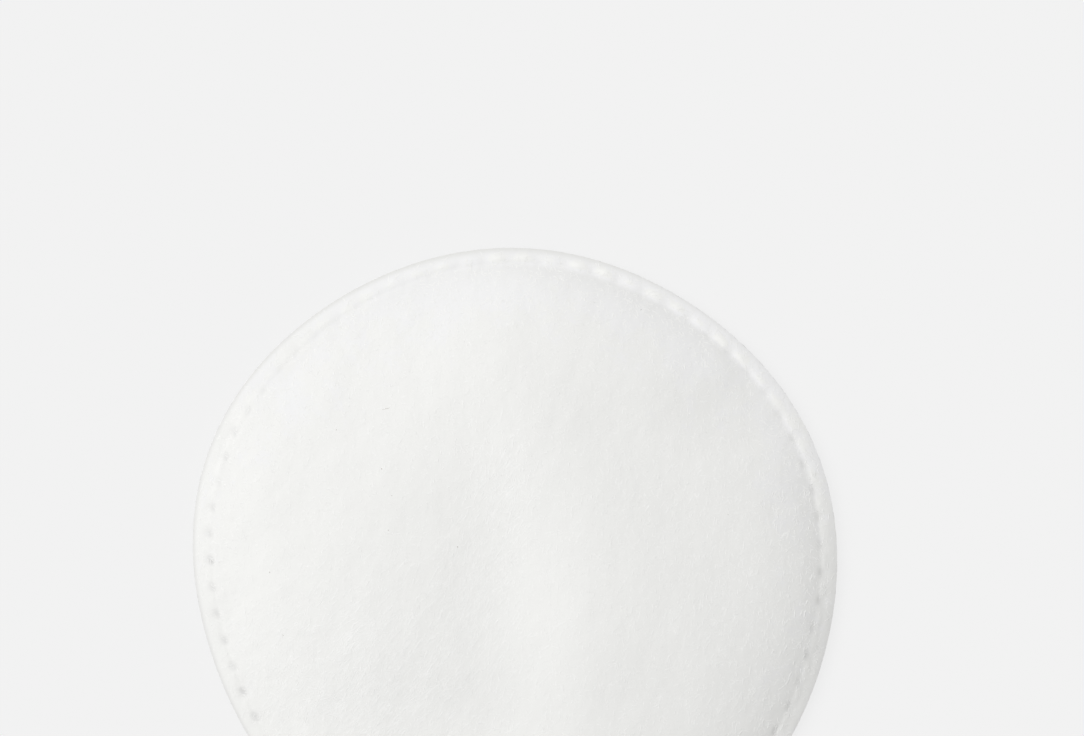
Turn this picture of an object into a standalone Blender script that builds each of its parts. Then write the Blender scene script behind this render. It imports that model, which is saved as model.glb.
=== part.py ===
"""A round cotton pad, lying on its back on a table.

It is one soft piece: a filled body inside a pressed seam, and a thin lip outside the seam. The seam is a
ring of small dents, and between the dents the lip puffs up in beads. The top of the body has a long valley
with a ridge beside it, where the filling has been pinched together.

Seen from above the pad is measured by the inset from its edge, by the angle along its seam, and inside
the seam by the share of the way from the centre to the seam. Metres, +Z up, the table is at z = 0.
"""
import math

import bmesh
import bpy

MM = 0.001
DEGREE = math.pi / 180

NAME = "cotton_pad"

# Outline, seen from above
PAD_RADIUS = 29.0 * MM
# order, size and direction of each slow wave that takes the edge off a true circle
OUTLINE_WAVES = (
    (2, 0.31 * MM, -40 * DEGREE),
    (3, 0.19 * MM, 30 * DEGREE),
    (4, 0.07 * MM, -32 * DEGREE),
    (5, 0.19 * MM, 19 * DEGREE),
)

# Lip, the thin rim outside the seam
LIP_THICKNESS = 0.86 * MM
LIP_ROUNDING = 0.20 * MM
LIP_MID_HEIGHT = 0.80 * MM
# how much the lip's top swells from the edge to the seam
LIP_RISE = 0.20 * MM
# the lip's upward slope to the seam, and how much steeper it is where the rim is bent back
LIP_SLOPE = 0.09
BENT_SLOPE = 0.26
BENT_AT = -22 * DEGREE
BENT_HALF_WIDTH = 22 * DEGREE
# height, direction and half width of each place where the lip steps up to the body
FOOT_RISES = (
    (0.12 * MM, -4 * DEGREE, 30 * DEGREE),
    (0.05 * MM, 150 * DEGREE, 25 * DEGREE),
)

# Beads, the puffs of the lip between the dents: fullest on one side of the pad, and low on the others
BEAD_HEIGHT = 0.09 * MM
BEAD_OUTSIDE_SEAM = 0.40 * MM
BEAD_OUTER_LENGTH = 0.42 * MM
BEAD_INNER_LENGTH = 0.27 * MM
BEAD_FULLEST = 72 * DEGREE
BEAD_LEAST = 0.20
BEAD_FADE = 8

# Seam, a ring of dents pressed into both faces
SEAM_INSET = 1.55 * MM
DENT_COUNT = 72
DENT_START = 4.83 * DEGREE
DENT_WIDTH = 1.50 * MM
DENT_OUTER_LENGTH = 0.60 * MM
DENT_INNER_LENGTH = 0.55 * MM
DENT_DEPTH = 0.14 * MM
BACK_DENT_DEPTH = 0.10 * MM
# how hard the seam is pressed: the mean, and the order, size and direction of each slow wave in it
PRESS_MEAN = 0.50
PRESS_WAVES = ((1, -0.45, 70 * DEGREE),)
# order, size and direction of each slow wave in the spacing of the dents
SPACING_WAVES = (
    (1, 0.60 * DEGREE, 125 * DEGREE),
    (2, 1.22 * DEGREE, 71 * DEGREE),
    (3, 0.62 * DEGREE, 5 * DEGREE),
)

# Body
CROWN_HEIGHT = 3.00 * MM
CROWN_ROUNDING = 3.5
CROWN_STEEPNESS = 0.90
CROWN_EASE = 0.12
# share of the crown's height that is gained from the centre to the edge, along X and Y
CROWN_LEAN = (0.16, -0.345)
# height, place (x, y), direction, half width and half length of each fold in the top of the body
FOLDS = (
    (-0.76 * MM, 1.9 * MM, -1.1 * MM, -106 * DEGREE, 6.2 * MM, 14.2 * MM),
    (1.00 * MM, 3.7 * MM, 0.9 * MM, -83 * DEGREE, 5.4 * MM, 15.2 * MM),
    (-0.81 * MM, 25.0 * MM, 12.7 * MM, -1 * DEGREE, 3.6 * MM, 12.6 * MM),
    (-0.40 * MM, 8.0 * MM, 13.4 * MM, -52 * DEGREE, 4.7 * MM, 21.9 * MM),
    (-1.00 * MM, -6.6 * MM, -15.9 * MM, 1 * DEGREE, 7.0 * MM, 22.0 * MM),
    (0.59 * MM, -1.9 * MM, 20.9 * MM, 63 * DEGREE, 6.6 * MM, 22.0 * MM),
    (1.00 * MM, 8.1 * MM, 11.2 * MM, 103 * DEGREE, 7.5 * MM, 14.3 * MM),
    (0.06 * MM, 1.3 * MM, 5.3 * MM, -89 * DEGREE, 1.5 * MM, 5.8 * MM),
    (-0.50 * MM, 22.2 * MM, 16.0 * MM, -22 * DEGREE, 1.4 * MM, 2.3 * MM),
)
FOLD_FADE = 6
# the part of the back that lies flat on the table, and how softly it turns up from there to the seam
REST_SHARE = 0.75
REST_TURN_UP = 2.2

# Fineness of the mesh: points around the pad for each dent, and where the rings lie between the edge,
# the two ends of the dents, the resting face and the centre
DENT_POINT_COUNT = 6
LIP_POINT_COUNT = 2
FOOT_POINT_COUNT = 2
BODY_POINT_COUNT = 1
LIP_RING_SHARES = (0.35, 1.0)
BEAD_RING_SHARES = (0.5,)
DENT_RING_SHARES = (-1.0, -0.65, -0.25, 0.0, 0.5, 1.0)
FOOT_RING_SHARES = (0.98, 0.945, 0.905, 0.86)
BODY_RING_SHARES = (0.80, 0.73, 0.65, 0.56, 0.46, 0.36, 0.27, 0.18, 0.09)
BACK_DENT_RING_SHARES = (-0.6, 0.0, 1.0)
BACK_BODY_RING_SHARES = (0.70, 0.35, 0.0)

COTTON_COLOUR = (0.838, 0.838, 0.824, 1.0)
COTTON_ROUGHNESS = 0.95


def wave_sum(angle, waves):
    """The sum of slow waves around the pad at an angle."""
    return sum(size * math.cos(order * (angle - direction)) for order, size, direction in waves)


def smooth_step(t):
    """0 up to t = 0, 1 from t = 1 on, and a soft rise between."""
    t = min(max(t, 0.0), 1.0)
    return t * t * (3 - 2 * t)


def true_angle(along):
    """The angle seen from above, for an angle counted along the seam in equal dents."""
    return along + wave_sum(along, SPACING_WAVES)


def edge_radius(angle):
    return PAD_RADIUS + wave_sum(angle, OUTLINE_WAVES)


def seam_radius(angle):
    return edge_radius(angle) - SEAM_INSET


def near_direction(angle, direction, half_width):
    """1 at one direction around the pad, fading to 0 on both sides."""
    aside = (angle - direction + math.pi) % (2 * math.pi) - math.pi
    return math.exp(-((aside / half_width) ** 2))


def lip_middle(angle, inset, share):
    """The height halfway through the lip: it slopes up to the seam, and more so where the rim is bent."""
    slope = LIP_SLOPE + BENT_SLOPE * near_direction(angle, BENT_AT, BENT_HALF_WIDTH)
    rise = slope * min(inset, SEAM_INSET)
    for step, direction, half_width in FOOT_RISES:
        at_seam = smooth_step(1 + (inset - SEAM_INSET) / DENT_OUTER_LENGTH)
        rise += step * near_direction(angle, direction, half_width) * at_seam
    return LIP_MID_HEIGHT + rise * min(share, 1.0) ** 2


def rim_half_thickness(inset):
    """Half of the lip's thickness, rounded off at the edge."""
    outward = 1 - min(inset / LIP_ROUNDING, 1.0)
    return 0.5 * LIP_THICKNESS * math.sqrt(1 - outward**2)


def lip_swell(inset):
    outward = 1 - min(inset / SEAM_INSET, 1.0)
    return LIP_RISE * (1 - outward**2)


def bead(inset, along):
    """The height of the puff between two dents, from 0 to 1, on the inner side of the lip."""
    between = 0.5 - 0.5 * math.cos(DENT_COUNT * (along - DENT_START))
    near_fullest = (0.5 + 0.5 * math.cos(along - BEAD_FULLEST)) ** BEAD_FADE
    fullness = BEAD_LEAST + (1 - BEAD_LEAST) * near_fullest
    past_bead = inset - SEAM_INSET + BEAD_OUTSIDE_SEAM
    length = BEAD_INNER_LENGTH if past_bead > 0 else BEAD_OUTER_LENGTH
    return fullness * between * math.exp(-((past_bead / length) ** 2))


def dent(past_seam, along):
    """How deep a point lies in a dent, from 0 to 1."""
    pitch = 2 * math.pi / DENT_COUNT
    off_centre = (along - DENT_START + 0.5 * pitch) % pitch - 0.5 * pitch
    across = off_centre * PAD_RADIUS / DENT_WIDTH
    if abs(across) >= 0.5:
        return 0.0
    length = DENT_INNER_LENGTH if past_seam > 0 else DENT_OUTER_LENGTH
    return math.cos(math.pi * across) * smooth_step(1 - abs(past_seam) / length)


def fold_sum(x, y):
    """The soft ridges and troughs in the top of the body, each along its own line."""
    total = 0.0
    for height, x0, y0, direction, half_width, half_length in FOLDS:
        c, s = math.cos(direction), math.sin(direction)
        along = (x - x0) * c + (y - y0) * s
        across = (y - y0) * c - (x - x0) * s
        total += height * math.exp(-((across / half_width) ** 2) - (along / half_length) ** 2)
    return total


def crown(x, y, share):
    """The height of the body above its seam, where share is 0 at the centre and 1 at the seam."""
    if share >= 1:
        return 0.0
    lean = 1 + (CROWN_LEAN[0] * x + CROWN_LEAN[1] * y) / PAD_RADIUS
    foot = CROWN_EASE**CROWN_STEEPNESS
    eased = (1 + CROWN_EASE - share**CROWN_ROUNDING) ** CROWN_STEEPNESS - foot
    bulge = CROWN_HEIGHT * lean * eased / ((1 + CROWN_EASE) ** CROWN_STEEPNESS - foot)
    return bulge + (1 - share**FOLD_FADE) * fold_sum(x, y)


def place_of(along, inset, share):
    """A point's angle, inset and share, from its inset or from its share of the way to the seam."""
    angle = true_angle(along)
    if inset is None:
        inset = edge_radius(angle) - seam_radius(angle) * share
    return angle, inset, (edge_radius(angle) - inset) / seam_radius(angle)


def top_point(along, inset=None, share=None):
    """A point of the top face."""
    angle, inset, share = place_of(along, inset, share)
    radius, past_seam = edge_radius(angle) - inset, inset - SEAM_INSET
    x, y = radius * math.cos(angle), radius * math.sin(angle)
    z = lip_middle(angle, inset, share) + rim_half_thickness(inset) + lip_swell(inset)
    z += BEAD_HEIGHT * bead(inset, along) + crown(x, y, share)
    depth = DENT_DEPTH * (PRESS_MEAN + wave_sum(angle, PRESS_WAVES))
    return x, y, z - depth * dent(past_seam, along)


def back_point(along, inset=None, share=None):
    """A point of the back, which is flat where it rests and turns up to the seam and the lip."""
    angle, inset, share = place_of(along, inset, share)
    radius, past_seam = edge_radius(angle) - inset, inset - SEAM_INSET
    outward = max(share - REST_SHARE, 0.0) / (1 - REST_SHARE)
    rise = min(outward, 1.0) ** REST_TURN_UP
    z = lip_middle(angle, inset, share) - rim_half_thickness(inset)
    z += BACK_DENT_DEPTH * dent(past_seam, along)
    return radius * math.cos(angle), radius * math.sin(angle), rise * z


def add_ring(bm, points_per_dent, point):
    """A closed ring of points around the pad, a whole number of them for each dent."""
    count = DENT_COUNT * points_per_dent
    step = 2 * math.pi / count
    verts = [bm.verts.new(point(DENT_START + i * step)) for i in range(count)]
    return [bm.edges.new((verts[i - 1], verts[i])) for i in range(count)]


def bead_inset(share):
    """The inset of a ring on the lip: share is 0 where the rounding ends and 1 where the dents start."""
    return LIP_ROUNDING + share * (SEAM_INSET - DENT_OUTER_LENGTH - LIP_ROUNDING)


def dent_inset(share):
    """The inset of a ring across the dents: share is -1 at their outer end and 1 at their inner."""
    return SEAM_INSET + share * (DENT_INNER_LENGTH if share > 0 else DENT_OUTER_LENGTH)


def body_share(share):
    """The place of a ring inside the dents: share is 0 at the centre and 1 at the dents' inner ends."""
    return share * (1 - DENT_INNER_LENGTH / (PAD_RADIUS - SEAM_INSET))


def back_share(share):
    """The place of a ring on the back: share is 0 at the resting face and 1 at the dents' inner ends."""
    return REST_SHARE + share * (body_share(1.0) - REST_SHARE)


def rings_at_insets(bm, points_per_dent, point, insets):
    return [add_ring(bm, points_per_dent, lambda a: point(a, inset=inset)) for inset in insets]


def rings_at_shares(bm, points_per_dent, point, shares):
    return [add_ring(bm, points_per_dent, lambda a: point(a, share=share)) for share in shares]


def top_rings(bm):
    lip = [share * LIP_ROUNDING for share in LIP_RING_SHARES]
    seam = [bead_inset(share) for share in BEAD_RING_SHARES]
    seam += [dent_inset(share) for share in DENT_RING_SHARES]
    rings = rings_at_insets(bm, LIP_POINT_COUNT, top_point, lip)
    rings += rings_at_insets(bm, DENT_POINT_COUNT, top_point, seam)
    foot = [body_share(share) for share in FOOT_RING_SHARES]
    body = [body_share(share) for share in BODY_RING_SHARES]
    rings += rings_at_shares(bm, FOOT_POINT_COUNT, top_point, foot)
    return rings + rings_at_shares(bm, BODY_POINT_COUNT, top_point, body)


def back_rings(bm):
    lip = [share * LIP_ROUNDING for share in LIP_RING_SHARES]
    seam = [dent_inset(share) for share in BACK_DENT_RING_SHARES]
    rings = rings_at_insets(bm, LIP_POINT_COUNT, back_point, lip)
    rings += rings_at_insets(bm, FOOT_POINT_COUNT, back_point, seam)
    body = [back_share(share) for share in BACK_BODY_RING_SHARES]
    return rings + rings_at_shares(bm, BODY_POINT_COUNT, back_point, body)


def bridge_inward(bm, edge, rings):
    """Closes the surface from the edge inward, ring by ring, and returns the innermost ring."""
    chain = [edge] + rings
    for outer, inner in zip(chain, chain[1:]):
        bmesh.ops.bridge_loops(bm, edges=outer + inner)
    return rings[-1]


def close_centre(bm, ring, centre):
    """Fills the innermost ring with a fan of triangles around one point."""
    middle = bm.verts.new(centre)
    for edge in ring:
        bm.faces.new((edge.verts[0], edge.verts[1], middle))


def cotton():
    material = bpy.data.materials.new("cotton")
    material.use_nodes = True
    shader = material.node_tree.nodes["Principled BSDF"]
    shader.inputs["Base Color"].default_value = COTTON_COLOUR
    shader.inputs["Roughness"].default_value = COTTON_ROUGHNESS
    shader.inputs["Metallic"].default_value = 0.0
    return material


def cotton_pad():
    bm = bmesh.new()
    edge = add_ring(bm, LIP_POINT_COUNT, lambda a: top_point(a, inset=0.0))
    innermost = bridge_inward(bm, edge, top_rings(bm))
    close_centre(bm, innermost, top_point(0.0, share=0.0))
    resting_rim = bridge_inward(bm, edge, back_rings(bm))
    bmesh.ops.contextual_create(bm, geom=resting_rim)
    bmesh.ops.recalc_face_normals(bm, faces=bm.faces)
    across = [v.co.xy for v in bm.verts]
    middle = [0.5 * (min(p[i] for p in across) + max(p[i] for p in across)) for i in (0, 1)]
    bmesh.ops.translate(bm, vec=(-middle[0], -middle[1], 0.0), verts=bm.verts)
    mesh = bpy.data.meshes.new(NAME)
    bm.to_mesh(mesh)
    bm.free()
    mesh.shade_smooth()
    mesh.materials.append(cotton())
    pad = bpy.data.objects.new(NAME, mesh)
    bpy.context.scene.collection.objects.link(pad)
    return pad


for old in list(bpy.data.objects):
    bpy.data.objects.remove(old, do_unlink=True)
cotton_pad()
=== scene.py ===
# %% [markdown]
# # A round cotton pad
#
# A cosmetic cotton pad is a small cushion of cotton fleece. It is pressed together along a ring of dents
# near its edge, so it has a filled body, a seam and a thin lip. This lesson dresses the imported solid of
# such a pad: the same shape again in a finer mesh, gathered at the seam, with the grain of the fleece and
# its loose fibres on top.
#
# The solid comes first. It fixes the size and the place of everything that follows, so the script loads
# it before anything else.

# %% Load the solid
import math

import bpy
import numpy as np
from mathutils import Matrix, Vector


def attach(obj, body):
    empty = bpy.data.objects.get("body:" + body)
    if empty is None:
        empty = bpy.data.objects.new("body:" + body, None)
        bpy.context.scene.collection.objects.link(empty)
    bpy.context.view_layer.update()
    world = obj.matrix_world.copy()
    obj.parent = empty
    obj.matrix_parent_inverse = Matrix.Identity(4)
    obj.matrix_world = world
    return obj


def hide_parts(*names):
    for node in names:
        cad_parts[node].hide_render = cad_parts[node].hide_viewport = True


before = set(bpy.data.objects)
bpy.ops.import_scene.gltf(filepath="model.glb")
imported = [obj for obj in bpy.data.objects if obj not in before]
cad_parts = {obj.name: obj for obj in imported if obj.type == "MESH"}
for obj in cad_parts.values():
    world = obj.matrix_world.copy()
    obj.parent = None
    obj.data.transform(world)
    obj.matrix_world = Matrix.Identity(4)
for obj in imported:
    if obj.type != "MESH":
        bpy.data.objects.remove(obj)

MM = 0.001
DEGREE = math.pi / 180


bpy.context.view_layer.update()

# %% [markdown]
# ## The camera
#
# The photograph looks straight at the pad's face. Here the pad lies on its back, because it can't stand
# unheld, so the camera looks straight down on it. A short lens close by would show more of the near rim
# than of the far one. A long lens far away keeps the view as flat as the photograph's. The length of the
# lens follows from the width that the picture covers.

# %% A long lens straight above
PICTURE = (1084, 736)
MM_PER_PIXEL = 0.09032 * MM
CAMERA_HEIGHT = 0.70
SENSOR = 36 * MM


def placed(name, data):
    """A new object in the scene, with the given camera, lamp or mesh."""
    item = bpy.data.objects.new(name, data)
    bpy.context.scene.collection.objects.link(item)
    return item


picture_width = PICTURE[0] * MM_PER_PIXEL
camera_data = bpy.data.cameras.new("camera")
camera_data.sensor_width = SENSOR / MM
camera_data.lens = SENSOR / MM * CAMERA_HEIGHT / picture_width
camera = placed("camera", camera_data)
bpy.context.scene.camera = camera
print("picture width %.1f mm, lens %.0f mm" % (picture_width / MM, camera_data.lens))

# %% [markdown]
# ## The light
#
# Cotton is white and hardly shades itself, so its folds only show if the light comes from one side. An
# area lamp would do, but it lights the near part of the floor more than the far part. A sun lamp with a
# wide angle is just as soft and lights everything evenly. It stands to the upper left. The world fills
# the shadows a little. Together they give a level surface a strength of 1, so that each colour renders as
# it is written.

# %% A broad lamp and a little fill
LAMP_TOWARDS = Vector((-0.300, 0.161, 0.520))
LAMP_ANGLE = 50 * DEGREE
FILL = 0.38
FILL_COLOUR = (1, 1, 1, 1)

lamp_data = bpy.data.lights.new("broad_lamp", "SUN")
lamp_data.angle = LAMP_ANGLE
level_share = LAMP_TOWARDS.normalized().z
lamp_data.energy = (1 - FILL) * math.pi / level_share
placed("broad_lamp", lamp_data).rotation_euler = LAMP_TOWARDS.to_track_quat("Z", "Y").to_euler()

world = bpy.data.worlds.new("fill")
world.use_nodes = True
background = world.node_tree.nodes["Background"]
background.inputs["Color"].default_value = FILL_COLOUR
background.inputs["Strength"].default_value = FILL
bpy.context.scene.world = world
bpy.context.scene.view_settings.view_transform = "Standard"
print("lamp strength %.2f, fill %.2f" % (lamp_data.energy, FILL))

# %% [markdown]
# ## The floor
#
# The backdrop of the photograph is one even pale grey. Paint alone would be shaded unevenly, and a floor
# that only glows would lose the pad's shadow. So the floor is paint for the light that bounces off it.
# For the camera it is mostly an even glow of the same colour, with a share of the paint, and that share
# keeps a faint soft shadow. Materials are built from nodes, and two small helpers are worth having: one
# starts a finish, the other does one sum.

# %% Two helpers for finishes
def new_finish(name):
    """A new node material and its node tree."""
    finish = bpy.data.materials.new(name)
    finish.use_nodes = True
    return finish, finish.node_tree


def worked_out(tree, operation, first, second):
    """The result of one sum. Each of the two values is another node's output or a plain number."""
    node = tree.nodes.new("ShaderNodeMath")
    node.operation = operation
    for socket, value in zip(node.inputs, (first, second)):
        if isinstance(value, float):
            socket.default_value = value
        else:
            tree.links.new(value, socket)
    return node.outputs[0]


print("new_finish and worked_out are ready")


# %% A plain pale floor
FLOOR_WIDTH = 3.0
FLOOR_COLOUR = (0.887, 0.887, 0.887, 1)
FLOOR_EVENNESS = 0.92


def floor_finish():
    """Paint that the camera, and anything that mirrors or lets through, sees mostly as an even glow."""
    finish, tree = new_finish("pale_floor")
    tree.nodes.clear()
    paint = tree.nodes.new("ShaderNodeBsdfDiffuse")
    paint.inputs["Color"].default_value = FLOOR_COLOUR
    glow = tree.nodes.new("ShaderNodeEmission")
    glow.inputs["Color"].default_value = FLOOR_COLOUR
    path = tree.nodes.new("ShaderNodeLightPath").outputs
    seen = worked_out(tree, "MAXIMUM", path["Is Camera Ray"], path["Is Glossy Ray"])
    seen = worked_out(tree, "MAXIMUM", seen, path["Is Transmission Ray"])
    mix = tree.nodes.new("ShaderNodeMixShader")
    tree.links.new(worked_out(tree, "MULTIPLY", seen, FLOOR_EVENNESS), mix.inputs["Fac"])
    tree.links.new(paint.outputs[0], mix.inputs[1])
    tree.links.new(glow.outputs[0], mix.inputs[2])
    out = tree.nodes.new("ShaderNodeOutputMaterial")
    tree.links.new(mix.outputs[0], out.inputs["Surface"])
    return finish


bpy.ops.mesh.primitive_plane_add(size=FLOOR_WIDTH, location=(0, 0, 0))
floor = bpy.context.object
floor.name = "floor"
floor.data.materials.append(floor_finish())
print("the floor is", FLOOR_WIDTH, "m wide")

# %% [markdown]
# ## The outline
#
# A pressed pad is never quite round. A circle would look machined, and an outline drawn by hand would be
# hard to change. So the edge is a circle with a few slow waves. Each wave has a number of crests, a height
# and the direction of one crest in degrees. The same kind of row gives all slow changes around the pad.

# %% The edge, seen from above
PAD_RADIUS = 29.0 * MM
OUTLINE_WAVES = ((2, 0.31, -40), (3, 0.19, 30), (4, 0.07, -32), (5, 0.19, 19))
TURN_STEPS = 2161


def wave_sum(angle, waves, unit):
    """The sum of waves around the pad, at one or many angles. Their heights are in the unit."""
    return sum(high * unit * np.cos(crests * (angle - at * DEGREE)) for crests, high, at in waves)


def edge_radius(angle):
    """How far the edge is from the middle of the circle, in a direction."""
    return PAD_RADIUS + wave_sum(angle, OUTLINE_WAVES, MM)


def span(amount_at):
    """The least and the most of something around the pad, in millimetres."""
    return amount_at(whole_turn).min() / MM, amount_at(whole_turn).max() / MM


whole_turn = np.linspace(0, 2 * math.pi, TURN_STEPS)
outline = edge_radius(whole_turn)[:, None] * np.stack([np.cos(whole_turn), np.sin(whole_turn)], 1)
print("the edge is %.2f to %.2f mm from the middle" % span(edge_radius))

# %% [markdown]
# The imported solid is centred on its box, while the outline is written around its circle. The two middles
# differ by a few hundredths of a millimetre. Every mesh below is moved by that much at the end, and the
# camera is placed over its own point of the pad in the same way.

# %% Put the camera over its point of the pad
PAD_MIDDLE_PIXEL = (515.6, 568.0)

box_middle = 0.5 * (outline.min(0) + outline.max(0))


def centred(points):
    """Points counted from the middle of the box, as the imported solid's are."""
    return np.subtract(points, [*box_middle, 0])


right = (0.5 * PICTURE[0] - PAD_MIDDLE_PIXEL[0]) * MM_PER_PIXEL
up = (PAD_MIDDLE_PIXEL[1] - 0.5 * PICTURE[1]) * MM_PER_PIXEL
camera.location = centred((right, up, CAMERA_HEIGHT))
print("the outline's box is centred at", box_middle / MM, "mm")
print("the camera is at", [round(v, 4) for v in camera.location])

# %% [markdown]
# ## The seam
#
# The press closes the pad along a ring, about 1.5 mm inside the edge. The pad never lies quite true under
# the press, so the lip is a little wider on one side than on the other. The seam is written as its
# distance from the edge, with slow waves of its own.

# %% The ring of the seam
SEAM_INSET = 1.49 * MM
SEAM_WAVES = ((1, 0.125, 178), (2, 0.090, -18), (3, 0.060, 31))


def seam_inset(angle):
    """How far inside the edge the seam runs, in a direction."""
    return SEAM_INSET + wave_sum(angle, SEAM_WAVES, MM)


def seam_radius(angle):
    return edge_radius(angle) - seam_inset(angle)


print("the lip is %.2f to %.2f mm wide" % span(seam_inset))

# %% [markdown]
# ## The dents
#
# The ring of the press has teeth, and each tooth leaves a dent. The teeth are evenly spaced, but soft
# cotton gives way under them and the spacing drifts. Copying one modelled dent 72 times would be simple
# and would look it. Here the height of the face is a formula, and the dents are a part of it. So they can
# drift, and each can differ a little from the next.

# %% The spacing of the dents
DENT_COUNT = 72
DENT_START = 4.83 * DEGREE
SPACING_WAVES = ((1, 0.60, 125), (2, 1.22, 71), (3, 0.62, 5))
SPACING_ROUNDS = 8


def along_seam(angle):
    """The angle counted in equal dents, for an angle seen from above. Each round of the loop gets closer."""
    along = angle
    for _ in range(SPACING_ROUNDS):
        along = angle - wave_sum(along, SPACING_WAVES, DEGREE)
    return along


print(DENT_COUNT, "dents,", round(2 * math.pi * PAD_RADIUS / DENT_COUNT / MM, 2), "mm apart")

# %% [markdown]
# Each dent is a shallow oval that leans a little. It is longer towards the edge than towards the body, and
# its depth fades smoothly on all sides. How hard the press bore down also changes slowly around the ring.
# It was hardest near the bottom of the photograph.

# %% The shape of a dent
DENT_WIDTH = 1.25 * MM
DENT_OUTER_LENGTH = 0.65 * MM
DENT_INNER_LENGTH = 0.45 * MM
DENT_SLANT = 0.30
DENT_STRAY = 0.07 * MM
DENT_VARIETY = 0.25
DENT_SEED = 11

dent_dice = np.random.default_rng(DENT_SEED)
dent_stray = dent_dice.normal(0, DENT_STRAY, DENT_COUNT)
dent_power = dent_dice.uniform(1 - DENT_VARIETY, 1 + DENT_VARIETY, DENT_COUNT)


def smooth_step(t):
    """0 up to t = 0, 1 from t = 1 on, and a soft S between them."""
    t = np.clip(t, 0, 1)
    return t * t * (3 - 2 * t)


def dent(past_seam, along):
    """About 1 in the middle of a dent, falling to 0 around it. past_seam counts inward from the seam."""
    pitch = 2 * math.pi / DENT_COUNT
    number = np.round((along - DENT_START) / pitch)
    off_centre = (along - DENT_START - number * pitch) * PAD_RADIUS
    number = number.astype(int) % DENT_COUNT
    past = past_seam + dent_stray[number]
    across = np.cos(math.pi * np.clip((off_centre - DENT_SLANT * past) / DENT_WIDTH, -0.5, 0.5))
    length = np.where(past > 0, DENT_INNER_LENGTH, DENT_OUTER_LENGTH)
    return dent_power[number] * across * smooth_step(1 - np.abs(past) / length)


print("the dents' power is %.2f to %.2f" % (dent_power.min(), dent_power.max()))

# %% How hard the press bore down
DENT_DEPTH = 0.10 * MM
PRESS_MEAN = 0.585
PRESS_WAVES = ((1, 0.314, -99), (2, 0.165, 23))


def press(angle):
    """How hard the press bore down in a direction, as a share of the full depth."""
    return PRESS_MEAN + wave_sum(angle, PRESS_WAVES, 1)


print("the dents are %.3f to %.3f mm deep" % span(lambda angle: DENT_DEPTH * press(angle)))

# %% [markdown]
# ## The lip
#
# The lip is cotton that was pressed thin and has sprung back a little. Its edge is cut, so it is nearly
# square with a tiny rounding. It slopes up to the seam, and in two places it is bent and meets the body at
# a small step. A sculpted lip would look as good, but a height over each point is easier to measure and to
# correct. The middle of the lip's thickness is described first, then half the thickness.

# %% The slope of the lip
LIP_MID_HEIGHT = 0.80 * MM
LIP_SLOPE = 0.09
# the extra slope where the lip is bent and the height of its steps, each with direction and half width
BENDS = ((0.20, -10, 24), (0.07, 165, 20))
FOOT_RISES = ((0.11 * MM, -22, 26), (0.09 * MM, 160, 25))


def amount_near(angle, amount, direction, half_width):
    """An amount that is full in one direction around the pad, in degrees, and fades on both sides."""
    aside = (angle - direction * DEGREE + math.pi) % (2 * math.pi) - math.pi
    return amount * np.exp(-((aside / (half_width * DEGREE)) ** 2))


def lip_middle(angle, inset, share):
    """The height halfway through the lip. inset counts inward from the edge, share is 1 at the seam."""
    slope = LIP_SLOPE + sum(amount_near(angle, *bend) for bend in BENDS)
    rise = slope * np.minimum(inset, seam_inset(angle))
    at_seam = smooth_step(1 + (inset - seam_inset(angle)) / DENT_OUTER_LENGTH)
    for step in FOOT_RISES:
        rise += amount_near(angle, *step) * at_seam
    return LIP_MID_HEIGHT + rise * np.minimum(share, 1) ** 2


print("the lip slopes %.2f to %.2f" % (LIP_SLOPE, LIP_SLOPE + BENDS[0][0]))

# %% The thickness of the lip
LIP_THICKNESS = 0.86 * MM
LIP_ROUNDING = 0.015 * MM
LIP_RISE = 0.20 * MM


def rim_half_thickness(inset):
    """Half the lip's thickness: nothing at the very edge, full once past the rounding."""
    outward = 1 - np.clip(inset / LIP_ROUNDING, 0, 1)
    return 0.5 * LIP_THICKNESS * np.sqrt(1 - outward**2)


def lip_rise(angle, inset):
    """How much the top of the lip rises from its edge to the seam, steeply at first."""
    return LIP_RISE * (1 - (1 - np.clip(inset / seam_inset(angle), 0, 1)) ** 2)


print("the lip is %.2f mm thick and rises %.2f mm" % (LIP_THICKNESS / MM, LIP_RISE / MM))

# %% [markdown]
# Cotton that is squeezed out of a dent has to go somewhere. It puffs up between two dents, on the side of
# the lip, as a row of white beads. They are full at the top of the photograph and nearly gone below.

# %% The beads between the dents
BEAD_HEIGHT = 0.09 * MM
BEAD_OUTSIDE_SEAM = 0.40 * MM
BEAD_OUTER_LENGTH = 0.42 * MM
BEAD_INNER_LENGTH = 0.27 * MM
BEAD_FULLEST = 72 * DEGREE
BEAD_LEAST = 0.20
BEAD_FADE = 8
BEAD_VARIETY = 0.30
BEAD_SEED = 17

bead_dice = np.random.default_rng(BEAD_SEED)
bead_power = bead_dice.uniform(1 - BEAD_VARIETY, 1 + BEAD_VARIETY, DENT_COUNT)


def bead(past_seam, along):
    """About 1 on top of the fullest beads, falling to 0 around each of them."""
    number = np.floor((along - DENT_START) / (2 * math.pi / DENT_COUNT)).astype(int) % DENT_COUNT
    between_dents = 0.5 - 0.5 * np.cos(DENT_COUNT * (along - DENT_START))
    near_fullest = (0.5 + 0.5 * np.cos(along - BEAD_FULLEST)) ** BEAD_FADE
    fullness = BEAD_LEAST + (1 - BEAD_LEAST) * near_fullest
    past_bead = past_seam + BEAD_OUTSIDE_SEAM
    length = np.where(past_bead > 0, BEAD_INNER_LENGTH, BEAD_OUTER_LENGTH)
    return bead_power[number] * fullness * between_dents * np.exp(-((past_bead / length) ** 2))


print("the beads are up to %.2f mm high" % (BEAD_HEIGHT / MM))

# %% [markdown]
# ## The body
#
# The filling makes the face a low dome. Half an ellipse would be too steep at the seam and too flat in the
# middle. A power curve can be made as full as the shading of the photograph asks. The dome also leans:
# it is fuller towards the bottom of the photograph than towards the top.

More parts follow.
